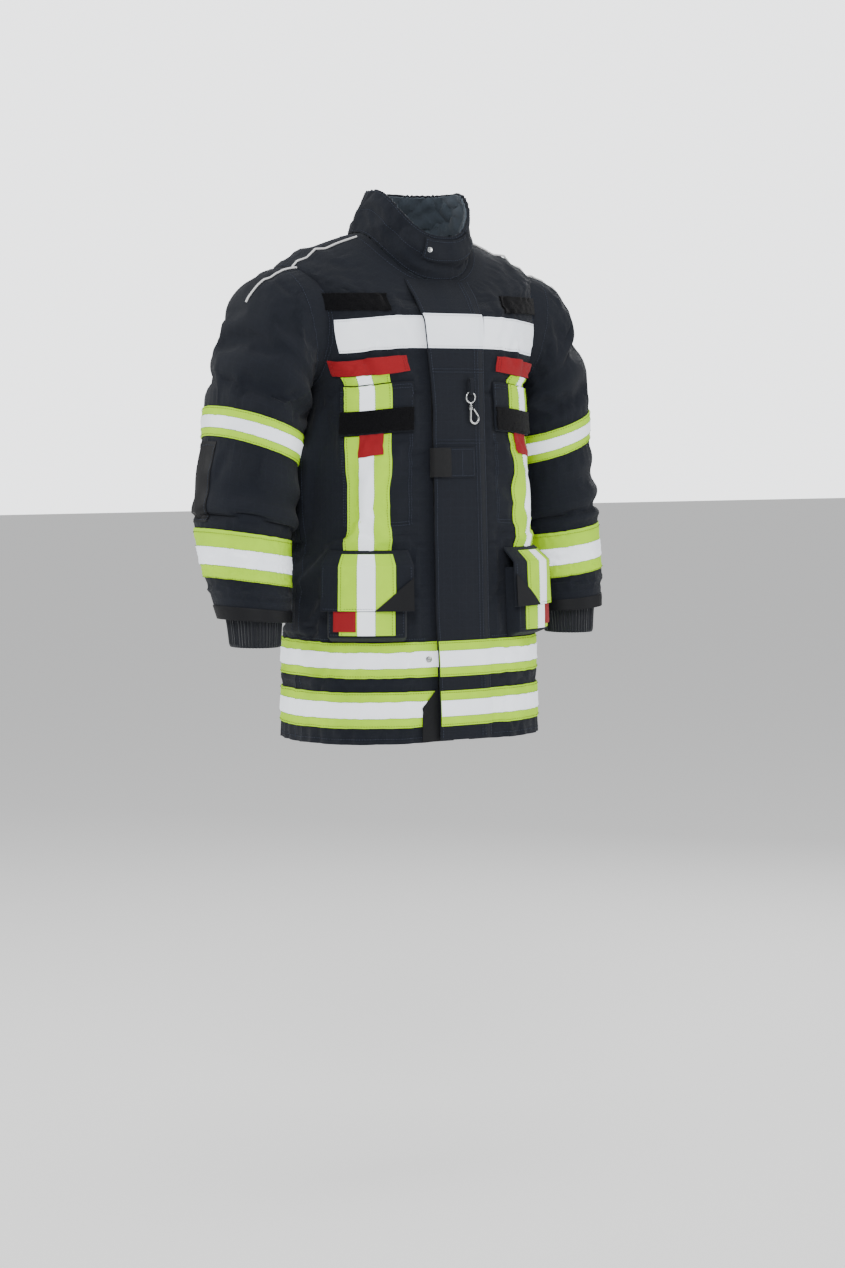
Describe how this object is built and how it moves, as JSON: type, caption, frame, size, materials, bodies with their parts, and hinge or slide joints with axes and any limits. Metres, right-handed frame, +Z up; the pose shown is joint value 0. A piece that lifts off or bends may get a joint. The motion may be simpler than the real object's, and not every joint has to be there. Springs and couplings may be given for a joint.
{
  "type": "firefighter coat",
  "caption": "Firefighter's turnout coat with stand collar, storm flap over a zip, flapped chest and bellows pockets, reflective tape, hinged sleeves and a snap hook.",
  "frame": {"origin": "underside of the hanger loop's top, inside the back of the neck, where the coat bears on a peg", "axes": "+Z up along the body, -Y out of the coat's front, +X to the wearer's left"},
  "size_m": [0.758, 0.3309, 0.8691],
  "materials": {
    "shell_cloth": "dark navy woven aramid shell cloth, matt",
    "liner_cloth": "quilted grey-blue aramid lining",
    "yellow_tape": "fluorescent yellow and silver reflective tape",
    "silver_tape": "silver reflective tape",
    "red_webbing": "red woven webbing",
    "black_tape": "black hook-and-loop tape, matt",
    "knit": "dark ribbed aramid knit",
    "zip_brass": "worn brass",
    "hook_steel": "polished steel"
  },
  "bodies": {
    "torso": {"shell_back": "shell_cloth", "shell_front_right": "shell_cloth", "shell_front_left": "shell_cloth", "torso_liner": "liner_cloth", "collar_shell": "shell_cloth", "collar_lining": "liner_cloth", "hanger_loop": "black_tape", "chest_tape_right": "silver_tape", "chest_tape_left": "silver_tape", "hem_tape_lower": "yellow_tape", "hem_tape_upper": "yellow_tape", "zip_tape_right": "black_tape", "zip_tape_left": "black_tape", "flap_closure_strip": "black_tape", "flap_top": "shell_cloth", "flap_chest_tape": "silver_tape", "name_panel_right": "black_tape", "name_panel_left": "black_tape", "chest_strap_right": "red_webbing", "chest_strap_left": "red_webbing", "front_trim_right": "yellow_tape", "front_trim_left": "yellow_tape", "lower_pocket_right": "shell_cloth", "lower_pocket_left": "shell_cloth", "press_stud": "hook_steel"},
    "collar_tab": {"collar_tab": "shell_cloth"},
    "storm_flap": {"storm_flap": "shell_cloth", "flap_hem_tape_lower": "yellow_tape", "flap_hem_tape_upper": "yellow_tape", "grab_tab": "shell_cloth", "hook_loop": "shell_cloth"},
    "hook_ring": {"hook_ring": "hook_steel"},
    "snap_hook": {"snap_hook": "hook_steel"},
    "hook_gate": {"hook_gate": "hook_steel"},
    "zip_slider": {"zip_slider": "zip_brass"},
    "zip_pull": {"zip_pull": "black_tape"},
    "chest_flap_right": {"chest_flap_right": "shell_cloth", "chest_flap_trim_right": "yellow_tape", "chest_flap_band_right": "black_tape", "chest_flap_tab_right": "red_webbing"},
    "lower_flap_right": {"lower_flap_right": "shell_cloth", "lower_flap_trim_right": "yellow_tape", "lower_flap_tab_right": "red_webbing"},
    "upper_sleeve_right": {"upper_sleeve_right": "shell_cloth", "upper_band_right": "yellow_tape"},
    "forearm_right": {"forearm_sleeve_right": "shell_cloth", "lower_band_right": "yellow_tape", "wristlet_right": "knit"},
    "chest_flap_left": {"chest_flap_left": "shell_cloth", "chest_flap_trim_left": "yellow_tape", "chest_flap_band_left": "black_tape", "chest_flap_tab_left": "red_webbing"},
    "lower_flap_left": {"lower_flap_left": "shell_cloth", "lower_flap_trim_left": "yellow_tape", "lower_flap_tab_left": "red_webbing"},
    "upper_sleeve_left": {"upper_sleeve_left": "shell_cloth", "upper_band_left": "yellow_tape"},
    "forearm_left": {"forearm_sleeve_left": "shell_cloth", "lower_band_left": "yellow_tape", "wristlet_left": "knit"}
  },
  "joints": [
    {"name": "collar_tab_hinge", "type": "hinge", "parent": "torso", "child": "collar_tab", "pos_m": [0.05462, -0.15907, -0.01509], "axis": [-0.159, -0.1943, 0.968], "range_deg": [0, 120]},
    {"name": "storm_flap_hinge", "type": "hinge", "parent": "torso", "child": "storm_flap", "pos_m": [0.052, -0.23055, -0.784], "axis": [0, 0.0425, 0.9991], "range_deg": [0, 120]},
    {"name": "hook_swing", "type": "hinge", "parent": "storm_flap", "child": "hook_ring", "pos_m": [0.022, -0.21811, -0.2417], "axis": [-1, 0, 0], "range_deg": [0, 75]},
    {"name": "hook_swivel", "type": "hinge", "parent": "hook_ring", "child": "snap_hook", "pos_m": [0.022, -0.21811, -0.265], "axis": [0, 0, -1], "range_deg": [0, 180]},
    {"name": "gate_hinge", "type": "hinge", "parent": "snap_hook", "child": "hook_gate", "pos_m": [0.028, -0.21811, -0.2685], "axis": [0, 1, 0], "range_deg": [0, 20], "stiffness_Nm_per_rad": 0.005, "springref_deg": -17.19},
    {"name": "zip_slide", "type": "slide", "parent": "torso", "child": "zip_slider", "axis": [0, -0.0425, -0.9991], "range_m": [0, 0.6]},
    {"name": "zip_pull_swing", "type": "hinge", "parent": "zip_slider", "child": "zip_pull", "pos_m": [0, -0.20215, -0.141], "axis": [0, -1, 0], "range_deg": [-35, 35]},
    {"name": "chest_flap_hinge_right", "type": "hinge", "parent": "torso", "child": "chest_flap_right", "pos_m": [-0.13001, -0.18486, -0.22504], "axis": [-0.8742, 0.4856, 0], "range_deg": [0, 120]},
    {"name": "lower_flap_hinge_right", "type": "hinge", "parent": "torso", "child": "lower_flap_right", "pos_m": [-0.15802, -0.18612, -0.49382], "axis": [-0.8451, 0.5346, 0], "range_deg": [0, 110]},
    {"name": "shoulder_raise_right", "type": "hinge", "parent": "torso", "child": "upper_sleeve_right", "pos_m": [-0.224, -0.049, -0.14], "axis": [0, 1, 0], "range_deg": [0, 70]},
    {"name": "elbow_bend_right", "type": "hinge", "parent": "upper_sleeve_right", "child": "forearm_right", "pos_m": [-0.2915, -0.046, -0.3878], "axis": [-0.9671, 0, 0.2545], "range_deg": [0, 50]},
    {"name": "chest_flap_hinge_left", "type": "hinge", "parent": "torso", "child": "chest_flap_left", "pos_m": [0.13001, -0.18486, -0.22504], "axis": [-0.8742, -0.4856, 0], "range_deg": [0, 120]},
    {"name": "lower_flap_hinge_left", "type": "hinge", "parent": "torso", "child": "lower_flap_left", "pos_m": [0.15802, -0.18612, -0.49382], "axis": [-0.8451, -0.5346, 0], "range_deg": [0, 110]},
    {"name": "shoulder_raise_left", "type": "hinge", "parent": "torso", "child": "upper_sleeve_left", "pos_m": [0.224, -0.049, -0.14], "axis": [0, -1, 0], "range_deg": [0, 70]},
    {"name": "elbow_bend_left", "type": "hinge", "parent": "upper_sleeve_left", "child": "forearm_left", "pos_m": [0.2915, -0.046, -0.3878], "axis": [-0.9671, 0, -0.2545], "range_deg": [0, 50]}
  ]
}
